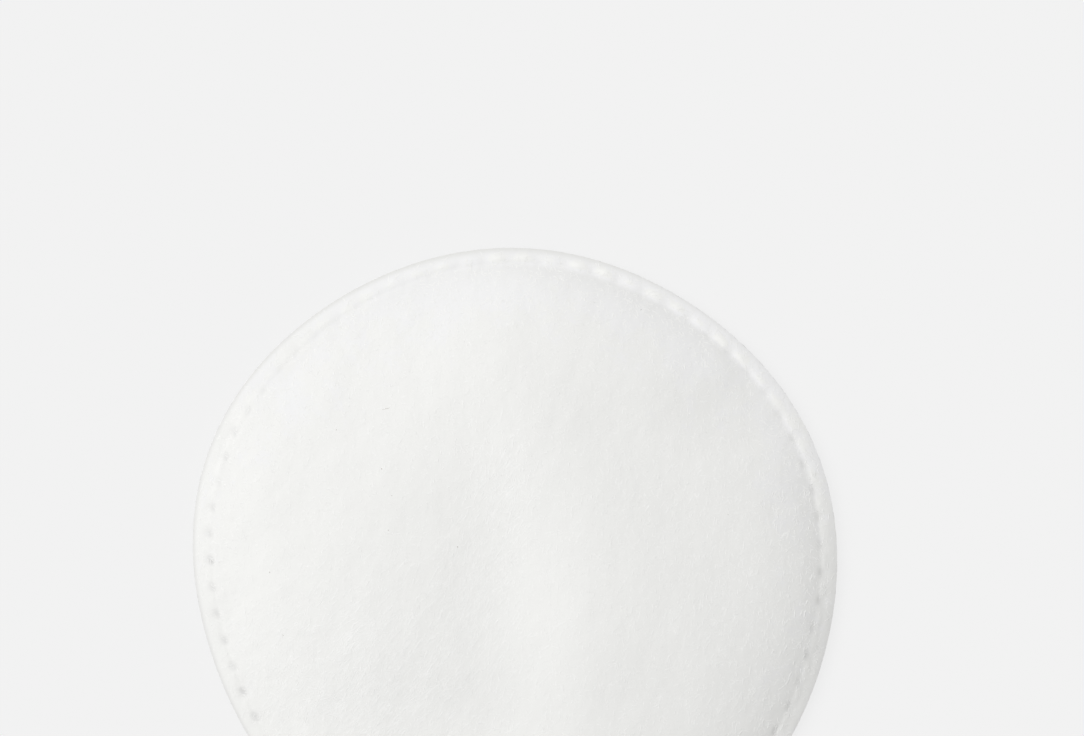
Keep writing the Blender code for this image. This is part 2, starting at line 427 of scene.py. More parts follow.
# %% The crown
CROWN_HEIGHT = 3.00 * MM
CROWN_ROUNDING = 3.5
CROWN_STEEPNESS = 0.90
CROWN_EASE = 0.12
CROWN_LEAN = (0.16, -0.345)


def crown(x, y, share):
    """The height of the dome over the lip. share is 0 in the middle and 1 at the seam."""
    lean = 1 + (CROWN_LEAN[0] * x + CROWN_LEAN[1] * y) / PAD_RADIUS
    eased = (1 + CROWN_EASE - share**CROWN_ROUNDING) ** CROWN_STEEPNESS - CROWN_EASE**CROWN_STEEPNESS
    full = (1 + CROWN_EASE) ** CROWN_STEEPNESS - CROWN_EASE**CROWN_STEEPNESS
    return CROWN_HEIGHT * lean * eased / full


print("the crown is %.1f mm high in the middle" % (crown(0.0, 0.0, 0.0) / MM))

# %% [markdown]
# The pad has been pinched, and its filling has shifted. A long valley runs up the face with a ridge on its
# right, and there are a few softer troughs. They could be sculpted with a brush, but a brush stroke can't
# be read or corrected later. Each fold here is a bump that fades along and across a line.

# %% The folds
def measured(rows):
    """Rows of a direction in degrees and lengths in millimetres, turned into radians and metres."""
    return [(direction * DEGREE, *(length * MM for length in lengths)) for direction, *lengths in rows]


# direction of the line, height (less than 0 for a trough), x, y, half width and half length
FOLDS = measured((
    (-106, -0.76, 1.9, -1.1, 6.2, 14.2),
    (-83, 1.00, 3.7, 0.9, 5.4, 15.2),
    (-1, -0.81, 25.0, 12.7, 3.6, 12.6),
    (-52, -0.40, 8.0, 13.4, 4.7, 21.9),
    (1, -1.00, -6.6, -15.9, 7.0, 22.0),
    (63, 0.59, -1.9, 20.9, 6.6, 22.0),
    (103, 1.00, 8.1, 11.2, 7.5, 14.3),
    (-89, 0.06, 1.3, 5.3, 1.5, 5.8),
    (-22, -0.50, 22.2, 16.0, 1.4, 2.3),
))
FOLD_FADE = 6


def fold_sum(x, y, share):
    """The height of all folds together. They fade before the seam, which the press keeps level."""
    total = np.zeros_like(x)
    for direction, height, x0, y0, half_width, half_length in FOLDS:
        c, s = math.cos(direction), math.sin(direction)
        along = (x - x0) * c + (y - y0) * s
        across = (y - y0) * c - (x - x0) * s
        total += height * np.exp(-((across / half_width) ** 2) - (along / half_length) ** 2)
    return (1 - share**FOLD_FADE) * total


print(len(FOLDS), "folds")

# %% [markdown]
# Now the pieces of the section come together. From the edge inward, the top face rises over the lip, dips
# into the dents, and climbs the side of the body to the crown.

# %% The smooth top face
def ring_place(x, y):
    """Where a point lies: its angle, the same counted in dents, its inset, and its share of the seam."""
    angle, radius = np.arctan2(y, x), np.hypot(x, y)
    return angle, along_seam(angle), edge_radius(angle) - radius, radius / seam_radius(angle)


MIDDLE = np.zeros((2, 1))


def bare_top(x, y):
    """The height of the smooth top face over a point, counted from the middle of the outline."""
    angle, along, inset, share = ring_place(x, y)
    past_seam = inset - seam_inset(angle)
    z = lip_middle(angle, inset, share) + rim_half_thickness(inset) + lip_rise(angle, inset)
    z += BEAD_HEIGHT * bead(past_seam, along)
    z += crown(x, y, np.minimum(share, 1)) + fold_sum(x, y, np.minimum(share, 1))
    return z - DENT_DEPTH * press(angle) * dent(past_seam, along)


print("the smooth face is %.2f mm high in the middle" % (bare_top(*MIDDLE)[0] / MM))

# %% [markdown]
# The photograph doesn't show the back. A loose pad that lies on a table is pressed flat by its own weight
# in the middle of its back, and turns up towards the seam. The teeth mark both faces, so the back has the
# same dents.

# %% The back
BACK_DENT_DEPTH = 0.10 * MM
REST_SHARE = 0.75
REST_TURN_UP = 2.2


def back_height(x, y):
    """The height of the back over a point: flat where it rests, turned up to the seam and the lip."""
    angle, along, inset, share = ring_place(x, y)
    outward = np.clip((share - REST_SHARE) / (1 - REST_SHARE), 0, 1)
    z = lip_middle(angle, inset, share) - rim_half_thickness(inset)
    z += BACK_DENT_DEPTH * dent(inset - seam_inset(angle), along)
    return outward**REST_TURN_UP * z


print("the back rests flat out to %.1f mm from the middle" % (REST_SHARE * seam_radius(0.0) / MM))

# %% [markdown]
# ## The cut edge
#
# The side of the lip is a cut through pressed layers of fleece. A smooth wall there would look like card.
# Noise from a texture would not show in the outline. So the wall gets real layers: thirty waves run nearly
# level around the pad, each a little further out or in. Each has a whole number of crests, so that the wall
# closes on itself. The upper corner is the cleanest and stands out furthest, so it looks clear from above.

# %% The frayed wall of the lip
FRAY_WAVES = 30
FRAY_DEPTH = 0.013 * MM
FRAY_LEAST = 0.30
FRAY_GROWS_OVER = 0.45 * MM
FRAY_FEWEST = 20
FRAY_MOST = 200
LAYER_THINNEST = 0.22 * MM
LAYER_THICKEST = 0.60 * MM
FRAY_REACH = 0.12 * MM
FRAY_SEED = 7
WALL_LEAN = 0.06

fray_dice = np.random.default_rng(FRAY_SEED)
fray_crests = fray_dice.integers(FRAY_FEWEST, FRAY_MOST, FRAY_WAVES) * fray_dice.choice([-1, 1], FRAY_WAVES)
fray_layer = fray_dice.uniform(LAYER_THINNEST, LAYER_THICKEST, FRAY_WAVES)
fray_phase = fray_dice.uniform(0, 2 * math.pi, FRAY_WAVES)


def fray(angle, z):
    """How far the wall stands out at a height, in a direction."""
    total = np.zeros_like(angle)
    for crests, layer, phase in zip(fray_crests, fray_layer, fray_phase):
        total += np.sin(crests * angle + 2 * math.pi * z / layer + phase)
    return FRAY_DEPTH * math.sqrt(2 / FRAY_WAVES) * total


def frayed(angle, z, inset):
    """The fray and the lean of the wall together. They fade out over the top and the back of the lip."""
    below_top = LIP_MID_HEIGHT + 0.5 * LIP_THICKNESS - z
    share = FRAY_LEAST + (1 - FRAY_LEAST) * smooth_step(below_top / FRAY_GROWS_OVER)
    return (share * fray(angle, z) - WALL_LEAN * below_top) * (1 - smooth_step(inset / FRAY_REACH))


print("the wall stands out by up to %.3f mm" % (fray(whole_turn, LIP_MID_HEIGHT).max() / MM))

# %% [markdown]
# ## The swelling
#
# The face is one sheet of fleece that is held at the seam and pushed up by the filling. It has a little
# more width than the seam leaves it, so it gathers there. Such gathers are hard to invent, and a cloth
# simulation finds them by itself. A net of points is laid over the smooth face and held outside the seam.
# It is ten times as large as the pad, because the solver suits cushions better than crumbs.

# %% A net over the face
NET_STEP = 0.70 * MM
NET_SCALE = 10
NET_MARGIN = 0.8 * MM
NET_SPARE = 2
HELD_FROM_SHARE = 0.96

net_half = math.ceil(PAD_RADIUS / NET_STEP) + NET_SPARE
net_line = np.arange(-net_half, net_half + 1) * NET_STEP
net_x, net_y = np.meshgrid(net_line, net_line, indexing="ij")
net_share = np.hypot(net_x, net_y) / seam_radius(np.arctan2(net_y, net_x))
on_pad = np.hypot(net_x, net_y) < edge_radius(np.arctan2(net_y, net_x)) - NET_MARGIN


def flat_net():
    """The net as an object that lies on the smooth face, and its points as an array."""
    number = np.full(on_pad.shape, -1)
    number[on_pad] = np.arange(on_pad.sum())
    sides = (number[:-1, :-1], number[1:, :-1], number[1:, 1:], number[:-1, 1:])
    corners = np.stack(sides, -1).reshape(-1, 4)
    x, y = net_x[on_pad], net_y[on_pad]
    points = np.stack([x, y, bare_top(x, y)], 1) * NET_SCALE
    mesh = bpy.data.meshes.new("net")
    mesh.from_pydata(points.tolist(), [], corners[(corners >= 0).all(1)].tolist())
    net = placed("net", mesh)
    held = net.vertex_groups.new(name="held")
    held.add(np.flatnonzero(net_share[on_pad] > HELD_FROM_SHARE).tolist(), 1.0, "REPLACE")
    return net, points


print("the net has", on_pad.sum(), "points")

# %% [markdown]
# The Cloth modifier blows the net up from below for twenty frames, with gravity off. The net is a little
# slack, as fleece is. Only the rise of each point is kept, as an array, and the net itself is deleted.

# %% Blow the net up
NET_FRAMES = 20
NET_PRESSURE = 4
NET_SLACK = 0.01


def swollen_net():
    """How much each point of the net rises when the net swells like a pillow."""
    net, before = flat_net()
    cloth = net.modifiers.new("swelling", "CLOTH")
    cloth.settings.vertex_group_mass = "held"
    cloth.settings.use_pressure = True
    cloth.settings.uniform_pressure_force = NET_PRESSURE
    cloth.settings.shrink_min = -NET_SLACK
    cloth.settings.effector_weights.gravity = 0
    cloth.point_cache.frame_start = 1
    cloth.point_cache.frame_end = NET_FRAMES
    for frame_number in range(1, NET_FRAMES + 1):
        bpy.context.scene.frame_set(frame_number)
    swollen = net.evaluated_get(bpy.context.evaluated_depsgraph_get()).to_mesh()
    after = np.empty(before.size, np.float32)
    swollen.vertices.foreach_get("co", after)
    rise = np.zeros(on_pad.shape)
    rise[on_pad] = (after.reshape(-1, 3) - before)[:, 2] / NET_SCALE
    bpy.data.objects.remove(net)
    bpy.context.scene.frame_set(1)
    return rise


net_rise = swollen_net()
print("the net swells by up to %.2f mm" % (net_rise.max() / MM))

# %% [markdown]
# The net shows two things at once: a slow swelling and the fine gathers. The slow part is in the crown and
# the folds already, which follow the photograph. So the mean of each ring is taken off, then a blurred
# copy. What is left are the gathers. They are capped, so that no point moves far from the solid.

# %% Keep the gathers of the net
GATHER_BLUR = 3
BELL_REACH = 3
GATHER_PART = 0.20
GATHER_MOST = 0.04 * MM
SHARE_RINGS = 40


def blurred(values, reach):
    """Each value replaced by a bell-shaped mean of its neighbours, along both sides of the net."""
    steps = np.arange(-BELL_REACH * reach, BELL_REACH * reach + 1)
    weights = np.exp(-0.5 * (steps / reach) ** 2)
    for axis in (0, 1):
        values = sum(w * np.roll(values, step, axis) for step, w in zip(steps, weights / weights.sum()))
    return values


def without_ring_mean(values):
    """The values less the mean of their ring around the pad."""
    ring = np.minimum((net_share * SHARE_RINGS).astype(int), 2 * SHARE_RINGS).ravel()
    mean = np.bincount(ring, values.ravel()) / np.maximum(np.bincount(ring), 1)
    middle = (np.arange(len(mean)) + 0.5) / SHARE_RINGS
    return values - np.interp(net_share, middle, mean)


uneven = without_ring_mean(net_rise)
uneven = GATHER_PART * (uneven - blurred(uneven, GATHER_BLUR))
gathers = np.clip(uneven, -GATHER_MOST, GATHER_MOST) * (net_share < 1)
print("the gathers are up to %.3f mm high" % (np.abs(gathers).max() / MM))

# %% [markdown]
# The net is coarser than the final mesh. If the mesh read the net's nearest point, the gathers would have
# steps. So each point takes a soft mean of the sixteen net points around it, as a subdivided mesh would.

# %% Read the gathers off the net
def spline_weights(t):
    """The weights of four neighbours in a row, for a point at t between the middle two."""
    return (
        (1 - t) ** 3 / 6,
        (3 * t**3 - 6 * t**2 + 4) / 6,
        (-3 * t**3 + 3 * t**2 + 3 * t + 1) / 6,
        t**3 / 6,
    )


def gathered(x, y):
    """The height of the gathers at a point."""
    u, v = x / NET_STEP + net_half, y / NET_STEP + net_half
    i, j = np.floor(u).astype(int), np.floor(v).astype(int)
    total = np.zeros_like(x)
    for di, wi in enumerate(spline_weights(u - i), -1):
        for dj, wj in enumerate(spline_weights(v - j), -1):
            total += wi * wj * gathers[i + di, j + dj]
    return total


print("the weights add up to", sum(spline_weights(0.3)))

# %% [markdown]
# ## The unevenness of the fleece
#
# Fleece has thick and thin places from a few tenths of a millimetre to several millimetres wide. A bump
# texture could show them, but they are real hills, and an exported mesh should have them. Sixty faint
# waves in all directions, from long to short, add up to such hills. All have the same slope, so the short
# ones are low. They are stronger on the left, where the face is more worn.

# %% Sixty faint waves
FLEECE_WAVES = 60
FLEECE_LONGEST = 9.0 * MM
FLEECE_SHORTEST = 0.5 * MM
FLEECE_SLOPE = 0.00475
FLEECE_LEAN = -0.45
FLEECE_SEED = 5

fleece_dice = np.random.default_rng(FLEECE_SEED)
fleece_length = np.geomspace(FLEECE_LONGEST, FLEECE_SHORTEST, FLEECE_WAVES)
fleece_turn = fleece_dice.uniform(0, math.pi, FLEECE_WAVES)
fleece_phase = fleece_dice.uniform(0, 2 * math.pi, FLEECE_WAVES)


def fleece_relief(x, y):
    """The height of the hills of the fleece at a point."""
    total = np.zeros_like(x)
    for length, direction, phase in zip(fleece_length, fleece_turn, fleece_phase):
        turns = (x * math.cos(direction) + y * math.sin(direction)) * 2 * math.pi / length
        total += FLEECE_SLOPE * length / (2 * math.pi) * np.sin(turns + phase)
    return total * (1 + FLEECE_LEAN * x / PAD_RADIUS)


print("wave lengths %.1f to %.1f mm" % (fleece_length[0] / MM, fleece_length[-1] / MM))

# %% The finished top face
def top_height(x, y):
    """The height of the finished top face over a point: the smooth face, its gathers and its hills."""
    inset = edge_radius(np.arctan2(y, x)) - np.hypot(x, y)
    return bare_top(x, y) + gathered(x, y) + fleece_relief(x, y) * smooth_step(inset / SEAM_INSET)


middle_height = float(top_height(*MIDDLE)[0])
print("the finished face is %.2f mm high in the middle" % (middle_height / MM))

# %% [markdown]
# ## Where the cotton is greyer
#
# White cotton is white because air between its fibres scatters the light. Where it is pressed hard, it
# lets more light through and looks greyer, and that is part of the grey in the dents. The rest is painted
# shade: in the dents, along the cut edge, at the foot of the body and on its right side. The cut wall
# where it turns from the lamp and the left side of the body get painted light, and the beads and one
# stretch of the lip are painted whiter. One number for each point of the mesh says how grey it is, and
# the finish reads it as an attribute. That stays sharp where a painted image would blur.

# %% How grey each point of the rim is, with painted shade and light
# the dents are grey partly from pressed cotton and partly from painted shade
DENT_GREY = 1.30
# painted shade along the cut edge, where it rounds away from the light
EDGE_GREY = 1.6
EDGE_GREY_WIDTH = 0.25 * MM
EDGE_GREY_FADE = 3
# painted light on the cut wall, which turns away from the lamp on the right
WALL_PAINTED_LIGHT = 1.6
BEAD_WHITE = 0.70
# some stretches around the pad differ: amount, direction and half width
# more painted shade in the dents on the left side
LEFT_DENTS_PAINTED_SHADE = (1.0, 181, 24)
LEFT_DENT_SHADE_POWER = 3
# where the painted edge shade is wider
WIDER_EDGE = (0.15 * MM, 88, 30)
# less painted light on the wall on the left, which the lamp lights
LESS_WALL_PAINTED_LIGHT = (0.9, 160, 30)
LIP_WHITE = (0.28, 45, 25)


def rim_grey(angle, inset, past_seam, along):
    """How grey the rim is: its dents and its cut edge are grey, its beads and one stretch are white."""
    in_dent = dent(past_seam, along)
    # painted shade in the dents, with the grey of the pressed cotton
    grey = DENT_GREY * in_dent * press(angle) + in_dent**LEFT_DENT_SHADE_POWER * amount_near(angle, *LEFT_DENTS_PAINTED_SHADE)
    # painted shade along the cut edge, none on the right, where the lamp already shades the edge
    edge_shade_share = 1 - (0.5 + 0.5 * np.cos(angle)) ** EDGE_GREY_FADE
    off_wall = smooth_step(inset / LIP_ROUNDING)
    width = EDGE_GREY_WIDTH + amount_near(angle, *WIDER_EDGE)
    grey += EDGE_GREY * off_wall * edge_shade_share * np.exp(-((inset / width) ** 2))
    # painted light on the cut wall, less of it where the lamp lights it
    grey -= WALL_PAINTED_LIGHT * (1 - amount_near(angle, *LESS_WALL_PAINTED_LIGHT)) * (1 - off_wall)
    grey -= amount_near(angle, *LIP_WHITE) * (1 - smooth_step(past_seam / DENT_INNER_LENGTH))
    return grey - BEAD_WHITE * bead(past_seam, along)


print("1 stands for cotton as grey as in a firm dent")

# %% [markdown]
# The body gets painted shade at its foot, most of all at the top of the photograph. Its right side, which
# turns away from the lamp, gets a little painted shade, and its left side a little painted light.

# %% The painted shade of the body
FOOT_SHADE = 0.25
FOOT_SHADE_MORE = (0.35, 75, 22)
FOOT_SHADE_WIDTH = 1.5 * MM
SIDE_SHADE_AND_LIGHT = 0.20
OUTER_FROM_SHARE = 0.5


def outer_share(x, y):
    """0 in the inner part of the face, rising to 1 at its edge."""
    return smooth_step((np.hypot(x, y) / PAD_RADIUS - OUTER_FROM_SHARE) / (1 - OUTER_FROM_SHARE))


def pressed_grey_and_painted_shading(x, y):
    """How much greyer than open fleece a point is, painted shade included, on the rim and on the body."""
    angle, along, inset, _ = ring_place(x, y)
    past_seam = inset - seam_inset(angle)
    # painted shade at the foot of the body, painted shade on its right side and painted light on its left
    foot_shade = FOOT_SHADE + amount_near(angle, *FOOT_SHADE_MORE)
    body_shade = foot_shade * np.exp(-((np.maximum(past_seam, 0) / FOOT_SHADE_WIDTH) ** 2))
    body_shade += SIDE_SHADE_AND_LIGHT * np.cos(angle) * outer_share(x, y)
    on_body = smooth_step(past_seam / DENT_INNER_LENGTH)
    return rim_grey(angle, inset, past_seam, along) + body_shade * on_body


print("in the middle the cotton is", pressed_grey_and_painted_shading(*MIDDLE)[0])

# %% [markdown]
# Bleached cotton isn't one white. Most of the face is a warm white, and towards the upper rim more and
# more patches are a cooler one, but the puffed beads stay warm. A second number for each point says how
# likely the cool white is there.

# %% How cool each point is
COOL_GAIN = (0.30, 75, 95)
BEAD_WARMTH = 0.35


def cool(x, y):
    """How much the cool white gains at a point: most in the upper part, towards the rim."""
    angle, along, inset, _ = ring_place(x, y)
    gain = outer_share(x, y) * amount_near(angle, *COOL_GAIN)
    return gain - BEAD_WARMTH * bead(inset - seam_inset(angle), along)


print("cool gains up to", COOL_GAIN[0])

# %% [markdown]
# ## The mesh
#
# A grid of squares would cut across the seam and make it ragged. Rings follow it, as a tree's do. They lie
# close together at the edge and the seam, and further apart inside. Towards the middle a ring would get
# more points than it needs. So wherever the points are less than half a step apart, the next ring has half
# as many.

# %% Where the rings lie
POINTS_PER_DENT = 16
RIM_POINTS = DENT_COUNT * POINTS_PER_DENT
RIM_STEP = 0.14 * MM
RIM_WIDTH = 3.4 * MM
BODY_STEP = 0.27 * MM
SMALLEST_RING = 9
CLOSEST_STEPS = 0.5
LAST_RING_STEPS = 1.5
EDGE_SHARES = (0.0, 0.05, 0.15, 0.35, 0.65, 1.0, 1.3)


def rim_insets(step):
    """How far inside the edge each ring of the rim lies: crowded over the rounding, then even."""
    over_rounding = [LIP_ROUNDING * share for share in EDGE_SHARES]
    first_even = over_rounding[-1] + CLOSEST_STEPS * step
    return over_rounding + [inset for inset in np.arange(0, RIM_WIDTH, step) if inset > first_even]


def ring_plan(rim_step, body_step):
    """The rings from the edge to the middle: the points on each, its inset and how much it is shrunk."""
    insets = rim_insets(rim_step)
    count = RIM_POINTS
    plan = [(count, inset, 1.0) for inset in insets]
    full = radius = PAD_RADIUS - insets[-1]
    while radius > LAST_RING_STEPS * body_step:
        radius -= body_step
        while count > 2 * SMALLEST_RING and 2 * math.pi * radius / count < CLOSEST_STEPS * body_step:
            count //= 2
        plan.append((count, insets[-1], radius / full))
    return plan


print(len(ring_plan(RIM_STEP, BODY_STEP)), "rings on the top face")


# %% From rings to points and faces
def ring_points(plan, face_height):
    """One array of points for each ring, at the height of the face, and frayed at the wall."""
    rings = []
    for count, inset, shrunk in plan:
        angle = np.arange(count) * 2 * math.pi / count
        radius = (edge_radius(angle) - inset) * shrunk
        z = face_height(radius * np.cos(angle), radius * np.sin(angle))
        radius += frayed(angle, z, inset)
        rings.append(np.stack([radius * np.cos(angle), radius * np.sin(angle), z], 1))
    return rings


def ring_faces(rings):
    """Faces between neighbouring rings, and a fan around the point in the middle. They look up."""
    faces, start = [], 0
    for outer, inner in zip(rings, rings[1:]):
        n, m = len(outer), len(inner)
        halved = n // m
        for i in range(n):
            a, b = start + i, start + (i + 1) % n
            c, d = start + n + i // halved, start + n + (i // halved + 1) % m
            faces.append((a, b, c) if halved == 2 and i % 2 == 0 else (a, b, d, c))
        start += n
    n, middle = len(rings[-1]), start + len(rings[-1])
    return faces + [(start + i, start + (i + 1) % n, middle) for i in range(n)]


print("a ring may have half the points of the one around it")

# %% [markdown]
# Both faces share the ring at the edge, so the body is closed. The back has a third as many rings, since
# it is smoother. The numbers for grey and cool are stored on the mesh as attributes.

# %% The body of the pad
BACK_COARSENESS = 3


def pad_shape():
    """The points and faces of the closed body."""
    top = ring_points(ring_plan(RIM_STEP, BODY_STEP), top_height)
    back = ring_points(ring_plan(BACK_COARSENESS * RIM_STEP, BACK_COARSENESS * BODY_STEP), back_height)
    top_points = np.concatenate(top + [np.array([[0, 0, middle_height]])])
    points = np.concatenate([top_points] + back[1:] + [np.zeros((1, 3))])
    shift = len(top_points) - RIM_POINTS
    faces = ring_faces(top)
    for face in ring_faces(back):
        faces.append(tuple(v if v < RIM_POINTS else v + shift for v in face[::-1]))
    return points, faces


def pad_mesh():
    points, faces = pad_shape()
    mesh = bpy.data.meshes.new("pad_body")
    mesh.from_pydata(centred(points).tolist(), [], faces)
    mesh.update()
    mesh.shade_smooth()
    for name, amount_at in (("pressed_grey_and_painted_shading", pressed_grey_and_painted_shading), ("cool", cool)):
        marks = mesh.attributes.new(name, "FLOAT", "POINT")
        marks.data.foreach_set("value", amount_at(points[:, 0], points[:, 1]).astype(np.float32))
    return mesh


pad = placed("pad_body", pad_mesh())
print("pad_body has", len(pad.data.polygons), "faces")

# %% [markdown]
# ## The fibres
#
# Cotton fleece is combed before it is pressed, so fibres and small bundles of them lie on its face. Hair
# curves would do, but they render as flat ribbons and don't export. So each wisp is a thin closed mesh: a
# low roof that starts and ends in a point. Most are so short that they only make the face look grainy. In
# the valley and at the lower left they are longer and follow the comb. On the right they are stubble.

# %% Where wisps crowd
COMB_SPREAD = 15 * DEGREE
# the direction of the comb, x, y, half width and half length of each place
COMBED = measured((
    (62, -1.3, 6.0, 2.2, 4.5),
    (58, -3.8, -3.5, 2.8, 7.5),
    (50, -14.0, -11.0, 9.0, 7.0),
))
STUBBLE = measured(((70, 16.0, -2.0, 12.0, 15.0),))


def scattered(count, margin, dice):
    """Even random places on the face, no nearer to the edge than the margin, and any direction for each."""
    angle = dice.uniform(-math.pi, math.pi, count)
    radius = (edge_radius(angle) - margin) * np.sqrt(dice.uniform(0, 1, count))
    return radius * np.cos(angle), radius * np.sin(angle), dice.uniform(0, math.pi, count)


def crowded(count, margin, places, dice):
    """Random places that crowd around the given ones, with the comb's direction for each."""
    found = []
    while sum(len(x) for x, _, _ in found) < count:
        x, y, direction = scattered(count, margin, dice)
        kept = np.zeros(count, bool)
        for comb, x0, y0, half_width, half_length in places:
            near = np.exp(-(((x - x0) / half_width) ** 2) - ((y - y0) / half_length) ** 2)
            here = ~kept & (dice.uniform(0, 1, count) < near)
            direction[here] = dice.normal(comb, COMB_SPREAD, here.sum())
            kept |= here
        found.append((x[kept], y[kept], direction[kept]))
    return [np.concatenate(values)[:count] for values in zip(*found)]


print(len(COMBED), "combed places and", len(STUBBLE), "with stubble")

# %% Deal out the wisps
COMBED_COUNT = 2600
STUBBLE_COUNT = 900
FELT_COUNT = 16000
EDGE_COUNT = 3600
LIP_MARGIN = 0.35 * MM
SEAM_MARGIN = 2.2 * MM
EDGE_SPREAD = 16 * DEGREE
WALL_SHARE = 0.85
COAT_SEED = 3
WALL_SEED = 13


def along_wall(count, dice):
    """Random places on the wall as if it were rolled out flat: how far around, how high, which direction."""
    around = dice.uniform(-math.pi, math.pi, count) * PAD_RADIUS
    up = dice.uniform(-0.5, 0.5, count) * WALL_SHARE * LIP_THICKNESS
    return around, up, dice.normal(0, EDGE_SPREAD, count)


coat_dice = np.random.default_rng(COAT_SEED)
places_of = {
    "combed_wisps": crowded(COMBED_COUNT, SEAM_MARGIN, COMBED, coat_dice),
    "stubble_wisps": crowded(STUBBLE_COUNT, SEAM_MARGIN, STUBBLE, coat_dice),
    "felt_wisps": scattered(FELT_COUNT, LIP_MARGIN, coat_dice),
    "edge_wisps": along_wall(EDGE_COUNT, np.random.default_rng(WALL_SEED)),
}
print({name: len(places[0]) for name, places in places_of.items()})

# %% [markdown]
# A wisp is swept along a short arc that follows the face. Its section is a triangle: two feet just under
# the surface and a ridge above it. A loop over thousands of wisps would be slow, so all wisps of a coat
# are worked out together, one station along the arc at a time. Each varies a little in length, width and
# height.

# %% The points of the wisps
WISP_SINK = 0.006 * MM
WISP_BEND = 20 * DEGREE
WISP_VARIETY = 0.35


def wisp_points(places, ground, spans, sizes, dice):
    """The points of all wisps of a coat on some ground, one row of points for each wisp."""
    x, y, direction = places
    shortest, longest, width, ridge = sizes
    count = len(x)
    length = dice.uniform(shortest, longest, count)
    bend = dice.normal(0, WISP_BEND, count)
    wide = width * dice.uniform(1 - WISP_VARIETY, 1 + WISP_VARIETY, count)
    high = ridge * dice.uniform(1 - WISP_VARIETY, 1 + WISP_VARIETY, count)
    sections = []
    for station in range(spans + 1):
        t = station / spans
        heading = direction + bend * (t - 0.5)
        reach = length * (t - 0.5)
        px = x + reach * np.cos(0.5 * (direction + heading))
        py = y + reach * np.sin(0.5 * (direction + heading))
        foot = ground(px, py) - WISP_SINK
        if station in (0, spans):
            sections.append(np.stack([px, py, foot], 1)[:, None])
            continue
        sx, sy = -np.sin(heading) * 0.5 * wide, np.cos(heading) * 0.5 * wide
        left_foot = np.stack([px + sx, py + sy, foot], 1)
        right_foot = np.stack([px - sx, py - sy, foot], 1)
        top = np.stack([px, py, foot + WISP_SINK + high * math.sin(math.pi * t)], 1)
        sections.append(np.stack([left_foot, right_foot, top], 1))
    return np.concatenate(sections, 1)


print("a wisp's feet are", round(WISP_SINK / MM, 3), "mm under the face")


# %% The faces of one wisp
def wisp_faces(spans):
    """The triangles of one wisp: a cone at each end, and three sides along each span between them."""
    end = 1 + 3 * (spans - 2)
    last = end + 3
    faces = [(0, 1, 2), (0, 2, 3), (0, 3, 1)]
    for first in range(1, end, 3):
        for a, b in ((0, 1), (1, 2), (2, 0)):
            faces.append((first + a, first + 3 + b, first + b))
            faces.append((first + a, first + 3 + a, first + 3 + b))
    return faces + [(end, last, end + 1), (end + 1, last, end + 2), (end + 2, last, end)]


print("a wisp of 3 spans has", len(wisp_faces(3)), "triangles")

# %% [markdown]
# A coat of 16,000 wisps is too much for from_pydata. Blender takes whole arrays with foreach_set, which is
# many times faster. Meshes made in this way start out smooth, and a wisp has to be shaded flat, or its
# ridge would vanish.

# %% A mesh from arrays
def triangle_mesh(name, points, triangles):
    """A flat-shaded mesh from two arrays."""
    mesh = bpy.data.meshes.new(name)
    mesh.vertices.add(len(points))
    mesh.vertices.foreach_set("co", points.ravel())
    mesh.loops.add(triangles.size)
    mesh.loops.foreach_set("vertex_index", triangles.ravel())
    mesh.polygons.add(len(triangles))
    mesh.polygons.foreach_set("loop_start", np.arange(0, triangles.size, 3))
    mesh.update(calc_edges=True)
    mesh.shade_flat()
    return mesh


print("triangle_mesh is ready")

# %% [markdown]
# Three coats lie on the top face. The fourth lies on the wall of the lip and runs around it, as the cut
# layers do. It is laid out flat first, with the same code, and then rolled around the pad: what was the
# height over the flat ground becomes the distance from the wall.

# %% Roll the last coat around the wall
WALL_MOST = 0.43 * LIP_THICKNESS


def flat_ground(x, y):
    return np.zeros_like(x)


def rolled(points):
    """Moves points from the rolled-out wall to the wall of the lip, flatter towards its upper corner."""
    around, up, out = points.T
    angle, up = around / PAD_RADIUS, np.clip(up, -WALL_MOST, WALL_MOST)
    inset = LIP_ROUNDING * (1 - np.sqrt(1 - (2 * up / LIP_THICKNESS) ** 2))
    z = LIP_MID_HEIGHT + up
    out = out * (1 - np.clip(up / WALL_MOST, 0, 1) ** 2)
    radius = edge_radius(angle) - inset + frayed(angle, z, inset) + out
    return np.stack([radius * np.cos(angle), radius * np.sin(angle), z], 1)


print("the wall is %.0f mm long" % (2 * math.pi * PAD_RADIUS / MM))

# %% Lay the coats
# spans, and in millimetres the shortest and the longest wisp, their width and the height of the ridge
WISP_COATS = {
    "combed_wisps": (6, 0.5, 2.0, 0.13, 0.011),
    "stubble_wisps": (4, 0.35, 1.1, 0.13, 0.011),
    "felt_wisps": (3, 0.25, 0.95, 0.095, 0.015),
    "edge_wisps": (4, 0.30, 1.40, 0.075, 0.013),
}

wisps = []
for name, (spans, *sizes) in WISP_COATS.items():
    on_wall = name == "edge_wisps"
    ground = flat_ground if on_wall else top_height
    rows = wisp_points(places_of[name], ground, spans, [size * MM for size in sizes], coat_dice)
    points = rolled(rows.reshape(-1, 3)) if on_wall else rows.reshape(-1, 3)
    first_points = np.arange(len(rows))[:, None, None] * rows.shape[1]
    triangles = (np.array(wisp_faces(spans)) + first_points).reshape(-1, 3)
    wisps.append(placed(name, triangle_mesh(name, centred(points), triangles)))
    print(name, "has", len(triangles), "triangles")

# %% [markdown]
# ## The specks
#
# Raw cotton keeps a few crumbs of seed husk. There are ten on this face, most of them less than 0.1 mm
# wide, and one long splinter. Dots in the texture would do for the picture. As small flakes that lie half
# in the face they are part of the mesh, and can be counted, moved or deleted.

